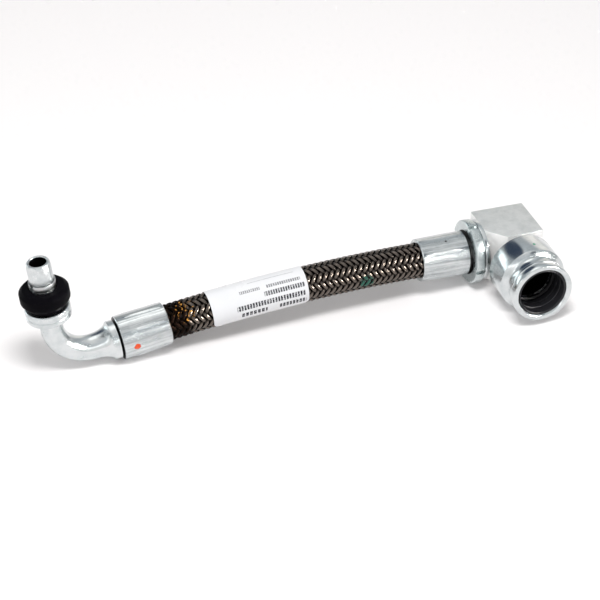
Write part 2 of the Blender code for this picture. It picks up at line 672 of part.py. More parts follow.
# Block elbow: a machined cube with a relieved corner, a nose for the union nut and two crossing bores
def elbow_block(material, frame):
    left, right = BLOCK_START, BLOCK_START + BLOCK_SIZE
    front = -BLOCK_HALF
    outline = [
        (left, BLOCK_HALF), (left, front + BLOCK_RELIEF_DEPTH), (left + BLOCK_RELIEF_SIDE, front),
        (right, front), (right, BLOCK_HALF),
    ]
    bm = bmesh.new()
    foot = bm.faces.new([bm.verts.new((x * MM, y * MM, -BLOCK_HALF * MM)) for x, y in outline])
    raised = bmesh.ops.extrude_face_region(bm, geom=[foot])
    top = [item for item in raised["geom"] if isinstance(item, bmesh.types.BMVert)]
    bmesh.ops.translate(bm, verts=top, vec=(0, 0, BLOCK_SIZE * MM))
    bmesh.ops.recalc_face_normals(bm, faces=bm.faces[:])
    bmesh.ops.bevel(bm, geom=bm.edges[:], offset=BLOCK_EDGE * MM, segments=1, affect="EDGES")
    block = add_object("elbow_block", bm, material, frame)

    nose_x = nose_face_x()
    blank = rod(nose_x, left + 1.0, BLOCK_NOSE_R, MEDIUM)
    nose = add_cutter("nose_blank", mesh_from("nose_blank", blank), frame)
    joined = block.modifiers.new("nose", "BOOLEAN")
    joined.operation = "UNION"
    joined.solver = "EXACT"
    joined.object = nose
    room = SEAL_R + SEAL_SQUEEZE_GAP
    groove = [
        (nose_x - 1.0, face_seal_r() + room), (nose_x + 2 * room, face_seal_r() + room),
        (nose_x + 2 * room, face_seal_r() - room), (nose_x - 1.0, face_seal_r() - room),
    ]
    groove_bm = spun_mesh(groove, MEDIUM)
    bmesh.ops.recalc_face_normals(groove_bm, faces=groove_bm.faces[:])
    cut(block, add_cutter("seal_groove_cutter", mesh_from("seal_groove_cutter", groove_bm), frame))
    flow = rod(nose_x - 1.0, PORT_X, BLOCK_BORE_R, COARSE)
    cut(block, add_cutter("flow_bore_cutter", mesh_from("flow_bore_cutter", flow), frame))
    socket_floor = BLOCK_HALF - PORT_STUB_LENGTH - GAP
    for name, start, end, radius in (
        ("port_socket_cutter", socket_floor, BLOCK_SIZE, PORT_STUB_R + GAP),
        ("port_bore_cutter", -BLOCK_BORE_R - 1.0, BLOCK_HALF, PORT_THROAT_R),
    ):
        bore = rod(start, end, radius, MEDIUM, axis="Y")
        bmesh.ops.translate(bore, verts=bore.verts[:], vec=(PORT_X * MM, 0, 0))
        cut(block, add_cutter(name, mesh_from(name, bore), frame))
    return block


# Port pieces: x runs out of the port, from the hose axis to the mouth
def liner_face():
    return PORT_REACH - PORT_LINER_INSET


def liner_back():
    return liner_face() - PORT_LINER_DEPTH


def liner_outer_r():
    return PORT_BORE_R + PORT_LINER_WALL


def port_seal_x():
    return liner_back() - GAP - SEAL_R


def ring_back():
    return port_seal_x() - SEAL_R - GAP - PORT_RING_WIDTH


def port_body(material, frame):
    seat_r = liner_outer_r() + GAP
    edge = 0.6
    lip_back = PORT_REACH - PORT_LIP_WIDTH
    line_x = PORT_REACH - PORT_LIP_LINE
    pocket_end = PORT_REACH - PORT_POCKET_DEPTH
    neck_start = BLOCK_HALF + GAP
    stub_start = BLOCK_HALF - PORT_STUB_LENGTH
    outline = [
        (stub_start, PORT_THROAT_R), (stub_start, PORT_STUB_R), (neck_start, PORT_STUB_R),
        (neck_start, PORT_NECK_R), (PORT_BODY_BACK, PORT_NECK_R),
        (PORT_BODY_BACK, PORT_BODY_R - PORT_BODY_CHAMFER),
        (PORT_BODY_BACK + PORT_BODY_CHAMFER, PORT_BODY_R),
        (PORT_BODY_FRONT - PORT_BODY_CHAMFER, PORT_BODY_R),
        (PORT_BODY_FRONT, PORT_BODY_R - PORT_BODY_CHAMFER),
        (PORT_BODY_FRONT + 1.0, PORT_GROOVE_R + 0.5), (PORT_BODY_FRONT + 1.6, PORT_GROOVE_R),
        (lip_back - 0.4, PORT_GROOVE_R), (lip_back, PORT_LIP_R - edge), (lip_back + edge, PORT_LIP_R),
        (line_x - 0.5, PORT_LIP_R), (line_x - 0.25, PORT_LIP_R - 0.5), (line_x, PORT_LIP_R),
        (PORT_REACH - edge, PORT_LIP_R), (PORT_REACH, PORT_LIP_R - edge),
        (PORT_REACH, seat_r + PORT_LIP_CHAMFER), (PORT_REACH - PORT_LIP_CHAMFER, seat_r),
        (ring_back() - GAP, seat_r),
        (ring_back() - GAP, PORT_POCKET_R), (pocket_end, PORT_POCKET_R), (pocket_end - 3.0, PORT_THROAT_R),
    ]
    return turned("port_body", outline, material, frame, FINE)


def port_liner(material, frame):
    face, back = liner_face(), liner_back()
    outline = [
        (back, PORT_BORE_R), (back, liner_outer_r()), (face, liner_outer_r()),
        (face, PORT_BORE_R + PORT_LINER_EDGE), (face - PORT_LINER_EDGE, PORT_BORE_R),
    ]
    return turned("port_liner", outline, material, frame)


def port_snap_ring(material, frame):
    low = ring_back()
    outline = [
        (low, PORT_RING_BORE_R), (low, liner_outer_r()), (low + PORT_RING_WIDTH, liner_outer_r()),
        (low + PORT_RING_WIDTH, PORT_RING_BORE_R),
    ]
    bm = spun_mesh(outline, MEDIUM, 360.0 - PORT_RING_GAP, PORT_RING_GAP / 2)
    return add_object("port_snap_ring", bm, material, frame)


def stand_on_origin(root):
    # move the whole object so that its box stands on the origin, centred
    bpy.context.view_layer.update()
    low = Vector((1e9, 1e9, 1e9))
    high = -low
    for item in bpy.data.objects:
        if item.type != "MESH" or item.hide_render:
            continue
        for vert in item.data.vertices:
            place = item.matrix_world @ vert.co
            low = Vector(map(min, low, place))
            high = Vector(map(max, high, place))
    root.location = Vector((-(low.x + high.x) / 2, -(low.y + high.y) / 2, -low.z))


def build_hose_assembly():
    clear_scene()
    zinc = finish("zinc_plate", (0.62, 0.64, 0.65), 0.28, 1.0)
    machined = finish("machined_steel", (0.56, 0.57, 0.58), 0.45, 1.0)
    stainless = finish("stainless_braid", (0.50, 0.47, 0.43), 0.35, 1.0)
    spring = finish("spring_steel", (0.40, 0.40, 0.42), 0.35, 1.0)
    rubber = finish("black_rubber", (0.015, 0.015, 0.017), 0.65, 0.0)
    plastic = finish("black_plastic", (0.012, 0.012, 0.015), 0.45, 0.0)
    paper = finish("white_label", (0.86, 0.86, 0.87), 0.45, 0.0)

    root = add_frame("hose_assembly", None, Matrix.Identity(4))
    left = add_end_frame("left_axis", root, 0.0)
    right = add_end_frame("right_axis", root, HOSE_SPAN)
    facing_left = add_frame("right_axis_reversed", right, Matrix.Rotation(pi, 4, "Z"))
    spigot = add_frame("spigot_axis", left,
                       Matrix.Translation((-SPIGOT_OFFSET * MM, 0, 0)) @ Matrix.Rotation(-pi / 2, 4, "Y"))
    port = add_frame("port_axis", right,
                     Matrix.Translation((PORT_X * MM, 0, 0)) @ Matrix.Rotation(-pi / 2, 4, "Z"))

    male_spigot(zinc, spigot)
    seal_low, seal_high = seal_groove()
    seal_ring("spigot_seal", (seal_low + seal_high) / 2, seal_floor_r() + SEAL_R + SEAL_SQUEEZE_GAP,
              rubber, spigot)
    dust_ring(plastic, spigot)
    retaining_ring(spring, spigot)
    elbow_tube(zinc, left)
    left_nipple(zinc, left)
    ferrule("left_ferrule", zinc, left, 1)

    hose_tube(rubber, root)
    steel_braid(stainless, root)
    label_wrap(paper, root)

    ferrule("right_ferrule", zinc, right, -1)
    right_nipple(zinc, facing_left)
    union_nut(zinc, right)
    lock_washer(zinc, right)
    seal_ring("face_seal", nose_face_x() + SEAL_R + SEAL_SQUEEZE_GAP, face_seal_r(), rubber, right)
    elbow_block(machined, right)
    port_body(zinc, port)
    port_liner(plastic, port)
    seal_ring("port_seal", port_seal_x(), liner_outer_r() - SEAL_R, rubber, port)
    port_snap_ring(spring, port)
    stand_on_origin(root)


build_hose_assembly()
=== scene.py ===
import bpy
import bmesh
from math import atan2, cos, pi, radians, sin, sqrt
from mathutils import Matrix, Vector


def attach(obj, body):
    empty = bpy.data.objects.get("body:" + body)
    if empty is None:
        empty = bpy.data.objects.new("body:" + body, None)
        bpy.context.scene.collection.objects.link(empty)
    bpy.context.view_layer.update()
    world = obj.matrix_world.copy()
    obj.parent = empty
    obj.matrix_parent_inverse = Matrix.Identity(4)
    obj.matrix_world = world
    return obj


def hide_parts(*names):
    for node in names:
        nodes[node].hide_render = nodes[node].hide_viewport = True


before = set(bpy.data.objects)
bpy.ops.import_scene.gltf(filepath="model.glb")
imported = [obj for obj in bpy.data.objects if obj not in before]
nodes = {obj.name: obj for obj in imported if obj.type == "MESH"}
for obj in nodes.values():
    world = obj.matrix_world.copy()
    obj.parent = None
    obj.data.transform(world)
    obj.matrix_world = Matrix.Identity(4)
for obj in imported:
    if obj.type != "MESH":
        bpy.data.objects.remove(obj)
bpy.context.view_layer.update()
mm = 0.001
scene = bpy.context.scene

# where the four axes of the object lie, as the model says: a point in mm, the axis, and its upward side
axisPlaces = {
    "left": ((-96.269, 18.035, 12.117), (0.99337, 0.0, 0.11495), (-0.11467, 0.06956, 0.99097)),
    "right": ((104.469, 18.035, 18.602), (0.99872, 0.0, -0.05059), (0.05047, 0.06956, 0.9963)),
    "spigot": ((-130.342, 18.035, 8.175), (-0.11467, 0.06956, 0.99097), (-0.99337, 0.0, -0.11495)),
    "port": ((130.136, 18.035, 17.302), (0.00352, -0.99758, 0.06947), (0.05047, 0.06956, 0.9963)),
}


def axisMatrix(name):
    point, along, up = axisPlaces[name]
    along = Vector(along).normalized()
    side = Vector(up).cross(along).normalized()
    turn = Matrix((along, side, along.cross(side))).transposed().to_4x4()
    return Matrix.Translation(Vector(point) * mm) @ turn


# camera: the photograph's view, long lens from the front left and above
cameraView = {
    "target": (12.9, 30.8, 0.0),
    "azimuth": -20.03,
    "elevation": 37.67,
    "distance": 1922.4,
    "lens": 208.2,
}


def makeCamera():
    turn = Matrix.Rotation(radians(cameraView["azimuth"]), 4, "Z") @ Matrix.Rotation(
        radians(90 - cameraView["elevation"]), 4, "X")
    eye = Vector(cameraView["target"]) * mm + turn.to_3x3() @ Vector((0, 0, cameraView["distance"] * mm))
    bpy.ops.object.camera_add(location=eye, rotation=turn.to_euler())
    camera = bpy.context.object
    camera.name = "photoCamera"
    camera.data.sensor_fit = "HORIZONTAL"
    camera.data.sensor_width = 36.0
    camera.data.lens = cameraView["lens"]
    camera.data.clip_end = 20.0
    scene.camera = camera
    print("camera set")


# the hose lies on one arc between the ferrules, as in the model
hoseRoute = {
    "leftSlope": 6.6005,
    "rightSlope": -2.9,
    "ferruleLength": 27.6,
    "freeLength": 146.0,
    "diameter": 19.6,
}


def hosePoint(distance):
    start = Vector(axisPlaces["left"][0])
    leftSlope, rightSlope = radians(hoseRoute["leftSlope"]), radians(hoseRoute["rightSlope"])
    straight, free = hoseRoute["ferruleLength"], hoseRoute["freeLength"]
    into = min(max(distance - straight, 0.0), free)
    slope = leftSlope + (rightSlope - leftSlope) * into / free
    bendRadius = free / (leftSlope - rightSlope)
    first = Vector((cos(leftSlope), 0.0, sin(leftSlope)))
    centre = start + first * min(distance, straight)
    centre += Vector((sin(leftSlope) - sin(slope), 0.0, cos(slope) - cos(leftSlope))) * bendRadius
    along = Vector((cos(slope), 0.0, sin(slope)))
    centre += along * max(0.0, distance - straight - free)
    return centre, along, Vector((-sin(slope), 0.0, cos(slope)))


def onHose(distance, angle, radius):
    centre, along, up = hosePoint(distance)
    side = along.cross(up)
    return (centre + (side * cos(angle) + up * sin(angle)) * radius) * mm


# braid: strands of fine wire, over two and under two, around a dark lining
braidLook = {
    "strands": 12,               # in each of the two directions
    "pitch": 3.36,
    "middleRadius": 9.0,
    "wave": 0.6,                 # how far a strand swings out and in
    "flatness": 1.25,            # over 1, the swing is cut off and a strand runs flat on top
    "turn": 41.0,
    "wires": 5,
    "wireWidth": 0.37,
    "wireHeight": 0.045,
    "wireProfile": ((0.0, 0.0), (0.28, 1.0), (0.72, 1.0)),    # shares of a wire's width and height
    "dome": 0.42,
    "strandDepth": 0.14,
    "undersideInset": 0.1,
    "samplesPerCrossing": 2,
    "tuck": 1.6,                 # hidden inside each ferrule
    "liningRadius": 8.25,
    "liningSides": 48,
    "liningRows": 40,
    "heightStart": 8.75,         # radius at which the height attribute is 0, and what it spans up to 1
    "heightSpan": 1.2,
    "routeSteps": 24,
}


def meshPiece(name, points, faces):
    mesh = bpy.data.meshes.new(name)
    mesh.from_pydata(points, [], faces)
    mesh.update()
    piece = bpy.data.objects.new(name, mesh)
    scene.collection.objects.link(piece)
    return piece


def makeBraid():
    look = braidLook
    strands, pitch = look["strands"], look["pitch"]
    lead = strands * pitch
    crossing = pitch / 2
    first = hoseRoute["ferruleLength"] - look["tuck"]
    length = hoseRoute["freeLength"] + 2 * look["tuck"]
    steps = int(length / crossing * look["samplesPerCrossing"])
    lean = atan2(2 * pi * look["middleRadius"], lead)
    width = look["wires"] * look["wireWidth"]
    section = []
    for wire in range(look["wires"]):
        left = -width / 2 + wire * look["wireWidth"]
        for share, high in look["wireProfile"]:
            across = left + look["wireWidth"] * share
            dome = look["dome"] * (1 - (2 * across / width) ** 2)
            section.append((across, dome + look["wireHeight"] * high))
    underside = width / 2 - look["undersideInset"]
    section += [(width / 2, 0.0), (underside, -look["strandDepth"]), (-underside, -look["strandDepth"])]
    size = len(section)
    points, faces, heights = [], [], []
    for turn in (1, -1):
        for strand in range(strands):
            base = len(points)
            for step in range(steps + 1):
                s = length * step / steps
                angle = turn * 2 * pi * s / lead + 2 * pi * strand / strands + radians(look["turn"])
                # over two and under two, and half a crossing off, so that each layer tops the other
                count = s / crossing
                phase = (count + 2 * strand - 0.5) if turn > 0 else (2 * strand - count - 2.5)
                swing = look["flatness"] * cos(2 * pi * phase / 4)
                radius = look["middleRadius"] + look["wave"] * max(-1.0, min(1.0, swing))
                for across, high in section:
                    shift = -turn * across * sin(lean)
                    spread = across * cos(lean) / look["middleRadius"]
                    points.append(onHose(first + s + shift, angle + spread, radius + high))
                    heights.append((radius + high - look["heightStart"]) / look["heightSpan"])
            for step in range(steps):
                low, high = base + step * size, base + (step + 1) * size
                for i in range(size):
                    j = (i + 1) % size
                    faces.append((low + i, high + i, high + j, low + j) if turn > 0 else
                                 (low + i, low + j, high + j, high + i))
            firstEnd = list(range(base, base + size))
            lastEnd = [point + steps * size for point in firstEnd]
            faces.append(firstEnd if turn > 0 else firstEnd[::-1])
            faces.append(lastEnd[::-1] if turn > 0 else lastEnd)
    base, sides, rows = len(points), look["liningSides"], look["liningRows"]
    for row in range(rows + 1):
        for side in range(sides):
            points.append(onHose(first + length * row / rows, 2 * pi * side / sides, look["liningRadius"]))
            heights.append(0.0)
    for row in range(rows):
        for side in range(sides):
            after = (side + 1) % sides
            faces.append((base + row * sides + side, base + (row + 1) * sides + side,
                          base + (row + 1) * sides + after, base + row * sides + after))
    braid = meshPiece("wireBraid", points, faces)
    height = braid.data.attributes.new("height", "FLOAT", "POINT")
    height.data.foreach_set("value", heights)
    mend = bmesh.new()
    mend.from_mesh(braid.data)
    bmesh.ops.recalc_face_normals(mend, faces=mend.faces[:])
    mend.to_mesh(braid.data)
    mend.free()
    braid.data.shade_smooth()
    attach(braid, "root")
    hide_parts("steel_braid")
    start, free, routeSteps = hoseRoute["ferruleLength"], hoseRoute["freeLength"], look["routeSteps"]
    route = [hosePoint(start + free * i / routeSteps)[0] * mm for i in range(routeSteps + 1)]
    print("braid woven,", len(faces), "faces")
    return braid


makeCamera()
braid = makeBraid()


# tools for shaping
weldDistance = 0.002 * mm


def clearSelection():
    if bpy.context.object and bpy.context.object.mode != "OBJECT":
        bpy.ops.object.mode_set(mode="OBJECT")
    bpy.ops.object.select_all(action="DESELECT")


def pickOnly(piece):
    clearSelection()
    piece.select_set(True)
    bpy.context.view_layer.objects.active = piece


def addModifier(piece, kind, **values):
    made = piece.modifiers.new(kind.lower(), kind)
    for key, value in values.items():
        setattr(made, key, value)
    pickOnly(piece)
    bpy.ops.object.modifier_apply(modifier=made.name)


def bevelEdges(piece, width, segments=2, sharperThan=28):
    addModifier(piece, "BEVEL", width=width * mm, segments=segments, limit_method="ANGLE",
                angle_limit=radians(sharperThan))


def combine(piece, other, operation):
    addModifier(piece, "BOOLEAN", object=other, operation=operation, solver="EXACT")
    bpy.data.objects.remove(other)


def drawRing(extrude, fromX, fromR, toX, toR):
    # the picked ring is drawn out along the axis and resized about it
    extrude(TRANSFORM_OT_translate={"value": (0, 0, (toX - fromX) * mm)})
    bpy.ops.transform.resize(value=(toR / fromR, toR / fromR, 1.0), center_override=(0, 0, toX * mm))


def closeSurface():
    # doubled points are joined, the faces turned outwards, and editing ends
    bpy.ops.mesh.select_all(action="SELECT")
    bpy.ops.mesh.remove_doubles(threshold=weldDistance)
    bpy.ops.mesh.normals_make_consistent(inside=False)
    bpy.ops.object.mode_set(mode="OBJECT")


def settle(piece, place, smoothAngle):
    pickOnly(piece)
    piece.matrix_world = place @ piece.matrix_world
    bpy.ops.object.transform_apply(location=True, rotation=True, scale=True)
    bpy.ops.object.shade_smooth_by_angle(angle=radians(smoothAngle))


def alongAxis(name):
    return axisMatrix(name) @ Matrix.Rotation(pi / 2, 4, "Y")


def turnPiece(name, outline, sides=96, edge=0.12):
    # a circle is drawn out and resized along a closed outline of (along, radius), as on a lathe
    clearSelection()
    start, radius = outline[0]
    bpy.ops.mesh.primitive_circle_add(vertices=sides, radius=radius * mm)
    piece = bpy.context.object
    piece.name = name
    bpy.ops.object.mode_set(mode="EDIT")
    bpy.ops.transform.translate(value=(0, 0, start * mm))
    for before, after in zip(outline, outline[1:] + outline[:1]):
        drawRing(bpy.ops.mesh.extrude_edges_move, *before, *after)
    closeSurface()
    if edge:
        bevelEdges(piece, edge)
    return piece


def finishPiece(piece, place, replaced, smoothAngle=32):
    settle(piece, place, smoothAngle)
    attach(piece, "root")
    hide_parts(*replaced)
    return piece


# crimped ferrules: plain band, eight pressed flats with ridges between them, slimmer mouth
ferruleShape = {
    "length": 27.6,
    "radius": 12.2,
    "mouthRadius": 11.85,
    "bore": 10.1,
    "lipBore": 8.6,
    "plainBand": 5.0,
    "seatDepth": 2.4,
    "shoulder": 0.5,
    "ridges": 8,
    "ridgeHeight": 0.22,
    "ridgeShare": 0.1,           # half a ridge's width, as a share of a flat
    "press": 0.1,
}


def makeFerrule(name, place, replaced):
    shape = ferruleShape
    length, radius, mouth = shape["length"], shape["radius"], shape["mouthRadius"]
    band, seat, shoulder = shape["plainBand"], shape["seatDepth"], shape["shoulder"]
    piece = turnPiece(name, [
        (0.0, radius - shoulder), (shoulder, radius), (band, radius), (band + 0.9, radius),
        (length * 0.4, radius - 0.1), (length * 0.7, mouth + 0.08), (length - 2.6, mouth),
        (length - 1.6, mouth), (length - shoulder, mouth), (length, mouth - shoulder), (length, shape["bore"]),
        (seat, shape["bore"]), (seat, shape["lipBore"]), (0.0, shape["lipBore"]),
    ], sides=128, edge=0)
    for vertex in piece.data.vertices:
        x, y, z = vertex.co / mm
        around = sqrt(x * x + y * y)
        outside = around > mouth - shoulder - 0.1
        if not outside or not band + 0.4 < z < length - 2.0:
            continue
        turn = (atan2(y, x) / (2 * pi) * shape["ridges"]) % 1.0
        nearness = max(0.0, 1.0 - min(turn, 1.0 - turn) / shape["ridgeShare"])
        smooth = nearness ** 2 * (3 - 2 * nearness)
        change = smooth * (shape["ridgeHeight"] + shape["press"]) - shape["press"]
        vertex.co.x *= 1 + change / around
        vertex.co.y *= 1 + change / around
    return finishPiece(piece, place, [replaced], 40)


leftFerrule = makeFerrule("leftFerruleCrimped", alongAxis("left"), "left_ferrule")
rightFerrule = makeFerrule("rightFerruleCrimped", alongAxis("right") @ Matrix.Rotation(pi, 4, "X"),
                           "right_ferrule")
print("ferrules crimped")


# bent tube: one smooth skin from the collar through the flare and round the bend to the flange
bentTube = {
    "stub": (2.4, 8.3),          # how far it reaches into the ferrule, and its radius there
    "collarStart": -0.7,
    "collarRadius": 10.8,
    "collarWidth": 4.3,
    "collarEdge": 0.4,
    "flare": [(-5.0, 10.3), (-5.4, 9.7), (-6.4, 9.0), (-7.6, 8.4), (-9.2, 7.85), (-11.2, 7.4), (-12.8, 7.18)],
    "flareRadius": 7.1,
    "radius": 6.3,
    "bend": 20.0,
    "spigotOffset": 34.3,
    "flangeHeight": 28.2,
    "bendSteps": 32,
}


def makeBentTube():
    shape = bentTube
    clearSelection()
    start, collar, edge = shape["collarStart"], shape["collarRadius"], shape["collarEdge"]
    rings = [shape["stub"], (start, shape["stub"][1]), (start, collar - edge), (start - edge, collar),
             (start - shape["collarWidth"] + edge, collar)] + shape["flare"]
    rings.append((-shape["spigotOffset"] + shape["bend"], shape["flareRadius"]))
    bpy.ops.mesh.primitive_circle_add(vertices=72, radius=rings[0][1] * mm, fill_type="NGON")
    piece = bpy.context.object
    piece.name = "bentTubeAndCollar"
    bpy.ops.object.mode_set(mode="EDIT")
    bpy.ops.transform.translate(value=(0, 0, rings[0][0] * mm))
    bpy.ops.mesh.select_mode(type="FACE")
    bpy.ops.mesh.select_all(action="SELECT")
    for before, after in zip(rings, rings[1:]):
        drawRing(bpy.ops.mesh.extrude_region_move, *before, *after)
    turnCentre = (-shape["bend"] * mm, 0.0, rings[-1][0] * mm)
    bpy.ops.mesh.spin(steps=shape["bendSteps"], angle=radians(-90), center=turnCentre, axis=(0, 1, 0))
    rise = (shape["flangeHeight"] - shape["bend"]) * mm
    bpy.ops.mesh.extrude_region_move(TRANSFORM_OT_translate={"value": (-rise, 0, 0)})
    closeSurface()
    slimTube(piece, rings[-1][0])
    return finishPiece(piece, alongAxis("left"), ["elbow_tube", "left_nipple"], 38)


def slimTube(piece, bendStart):
    # the tube slims round the bend, from the flare's end to the spigot
    bend = bentTube["bend"]
    slim = 1 - bentTube["radius"] / bentTube["flareRadius"]
    for vertex in piece.data.vertices:
        x, z = vertex.co.x / mm, vertex.co.z / mm
        if z > bendStart - 0.001:
            continue
        turn = pi / 2 if x < -bend else atan2(bendStart - z, x + bend)
        middle = Vector((x if x < -bend else bend * (cos(turn) - 1), 0.0, bendStart - bend * sin(turn))) * mm
        vertex.co = middle + (vertex.co - middle) * (1 - slim * turn / (pi / 2))


tube = makeBentTube()
print("tube bent")


# spigot, heights above the hose axis
spigotShape = {
    "tipHeight": 63.8,
    "tipRadius": 6.5,
    "stemRadius": 6.8,
    "bore": 4.7,
    "flangeRadius": 12.5,
    "flangeLow": 28.0,
    "flangeHigh": 35.2,
    "grooveLow": 47.7,
    "grooveHigh": 52.2,
    "grooveRadius": 6.4,
    "boreFloor": 37.0,
    "boreEnd": 0.4,
}
dustRingShape = {"low": 35.5, "high": 47.5, "radius": 13.7, "hole": 7.1, "topChamfer": 2.2, "foot": 3.2,
                 "footHeight": 4.6, "sealRoom": 8.4, "lip": 5.0}
retainingRingShape = {"low": 48.1, "width": 3.8, "inner": 6.7, "outer": 7.4, "gap": 20.0, "gapTurn": 5.0}


def makeSpigot():
    shape = spigotShape
    stem, tip, bore = shape["stemRadius"], shape["tipRadius"], shape["bore"]
    top, flange = shape["tipHeight"], shape["flangeRadius"]
    low, high = shape["flangeLow"], shape["flangeHigh"]
    groove, grooveLow, grooveHigh = shape["grooveRadius"], shape["grooveLow"], shape["grooveHigh"]
    boreFloor, boreEnd = shape["boreFloor"], shape["boreEnd"]
    piece = turnPiece("turnedSpigot", [
        (low, flange - 0.7), (low + 0.7, flange), (low + 2.9, flange), (low + 3.1, flange - 0.35),
        (low + 3.7, flange - 0.35), (low + 3.9, flange), (high - 0.6, flange), (high, flange - 0.6),
        (high, stem), (grooveLow, stem), (grooveLow, groove), (grooveHigh, groove), (grooveHigh, stem),
        (top - 3.0, stem), (top - 2.5, tip + 0.05), (top - 0.8, tip), (top - 0.25, tip - 0.45),
        (top, tip - 0.9), (top, bore + 0.35), (top - 0.4, bore), (boreFloor, bore), (boreFloor, boreEnd),
        (low, boreEnd),
    ], edge=0.1)
    return finishPiece(piece, alongAxis("spigot"), ["male_spigot"])


def makeDustRing():
    shape = dustRingShape
    low, high, radius, hole = shape["low"], shape["high"], shape["radius"], shape["hole"]
    top, foot, room, lip = shape["topChamfer"], shape["foot"], shape["sealRoom"], shape["lip"]
    piece = turnPiece("mouldedDustRing", [
        (high, hole + 0.5), (high, radius - top), (high - top, radius), (low + shape["footHeight"], radius),
        (low, radius - foot), (low, room), (high - lip, room), (high - lip, hole), (high - 0.5, hole),
    ], edge=0.2)
    return finishPiece(piece, alongAxis("spigot"), ["dust_ring"], 40)


def makeRetainingRing():
    # a split ring: the outline is spun short of a full turn
    shape = retainingRingShape
    clearSelection()
    middle = (shape["inner"] + shape["outer"]) / 2
    height = shape["low"] + shape["width"] / 2
    bpy.ops.mesh.primitive_plane_add(size=1.0)
    piece = bpy.context.object
    piece.name = "splitRetainingRing"
    bpy.ops.object.mode_set(mode="EDIT")
    bpy.ops.mesh.select_all(action="SELECT")
    bpy.ops.transform.resize(value=((shape["outer"] - shape["inner"]) * mm, shape["width"] * mm, 1.0))
    bpy.ops.mesh.bevel(offset=0.15 * mm, segments=2, affect="VERTICES")
    bpy.ops.object.mode_set(mode="OBJECT")
    for vertex in piece.data.vertices:
        vertex.co = Vector((vertex.co.x + middle * mm, 0.0, vertex.co.y + height * mm))
    bpy.ops.object.mode_set(mode="EDIT")
    bpy.ops.mesh.select_all(action="SELECT")
    bpy.ops.mesh.spin(steps=80, angle=radians(360 - shape["gap"]), center=(0, 0, 0), axis=(0, 0, 1))
    closeSurface()
    gapTurn = Matrix.Rotation(radians(180 + shape["gapTurn"] + shape["gap"] / 2), 4, "Z")
    return finishPiece(piece, alongAxis("spigot") @ gapTurn, ["retaining_ring"])


spigot = makeSpigot()
dustRing = makeDustRing()
retainingRing = makeRetainingRing()
print("spigot, dust ring and retaining ring turned")


# union nut with its spanner slots, and the lock washer behind it
unionShape = {"start": 1.4, "end": 6.6, "radius": 17.8, "bore": 13.8, "lipBore": 8.6, "slots": 4,
              "slotWidth": 2.6, "slotDepth": 1.3, "slotTurn": 12.0}
washerShape = {"start": 6.9, "end": 9.9, "radius": 16.9, "bore": 13.8}


def makeUnionNut():
    shape = unionShape
    start, end, radius = shape["start"], shape["end"], shape["radius"]
    piece = turnPiece("slottedUnionNut", [
        (start, radius - 0.6), (start + 0.6, radius), (end - 0.6, radius), (end, radius - 0.6),
        (end, shape["bore"]), (start + 1.3, shape["bore"]), (start + 1.3, shape["lipBore"]),
        (start, shape["lipBore"]),
    ], sides=128, edge=0)
    for index in range(shape["slots"]):
        clearSelection()
        bpy.ops.mesh.primitive_cube_add(size=1.0)
        cutter = bpy.context.object
        turn = radians(shape["slotTurn"]) + 2 * pi * index / shape["slots"]
        spot = Matrix.Translation((-radius * mm, 0, (start + end) / 2 * mm))
        cut = Vector((2 * shape["slotDepth"], shape["slotWidth"], 2 * (end - start))) * mm
        extent = Matrix.Diagonal((*cut, 1))
        cutter.matrix_world = Matrix.Rotation(turn, 4, "Z") @ spot @ extent
        combine(piece, cutter, "DIFFERENCE")
    bevelEdges(piece, 0.15)
    return finishPiece(piece, alongAxis("right"), ["union_nut"])


def makeLockWasher():
    shape = washerShape
    start, end, radius = shape["start"], shape["end"], shape["radius"]
    piece = turnPiece("turnedLockWasher", [
        (start, radius - 0.5), (start + 0.5, radius), (end - 0.5, radius), (end, radius - 0.5),
        (end, shape["bore"]), (start, shape["bore"]),
    ], sides=128)
    return finishPiece(piece, alongAxis("right"), ["lock_washer"])


unionNut = makeUnionNut()
lockWasher = makeLockWasher()
print("nut and washer made")


# block elbow: a cube with its front hose-side corner cut away, and a nose under the nut
blockShape = {"start": 10.2, "size": 31.0, "reliefSide": 9.6, "reliefDepth": 9.9, "noseRadius": 13.5,
              "noseStart": 4.9, "noseOverlap": 1.0, "edge": 0.45}


def makeElbowBlock():
    shape = blockShape
    size, half, left = shape["size"], shape["size"] / 2, shape["start"]
    clearSelection()
    bpy.ops.mesh.primitive_cube_add(size=size * mm, location=((left + half) * mm, 0, 0))
    piece = bpy.context.object
    piece.name = "machinedBlock"
    bpy.ops.object.transform_apply(location=True, rotation=True, scale=True)
    bpy.ops.object.mode_set(mode="EDIT")
    bpy.ops.mesh.select_all(action="SELECT")
    cutNormal = Vector((-shape["reliefDepth"], -shape["reliefSide"], 0)).normalized()
    bpy.ops.mesh.bisect(plane_co=(left * mm, (-half + shape["reliefDepth"]) * mm, 0), plane_no=cutNormal,
                        use_fill=True, clear_outer=True)
    bpy.ops.object.mode_set(mode="OBJECT")
    bevelEdges(piece, shape["edge"], segments=3, sharperThan=25)
    clearSelection()
    noseEnd = left + shape["noseOverlap"]
    depth = (noseEnd - shape["noseStart"]) * mm
    bpy.ops.mesh.primitive_cylinder_add(vertices=96, radius=shape["noseRadius"] * mm, depth=depth,
                                        location=(noseEnd * mm - depth / 2, 0, 0), rotation=(0, pi / 2, 0))
    nose = bpy.context.object
    combine(piece, nose, "UNION")
    return finishPiece(piece, axisMatrix("right"), ["elbow_block"])


block = makeElbowBlock()
print("block machined")


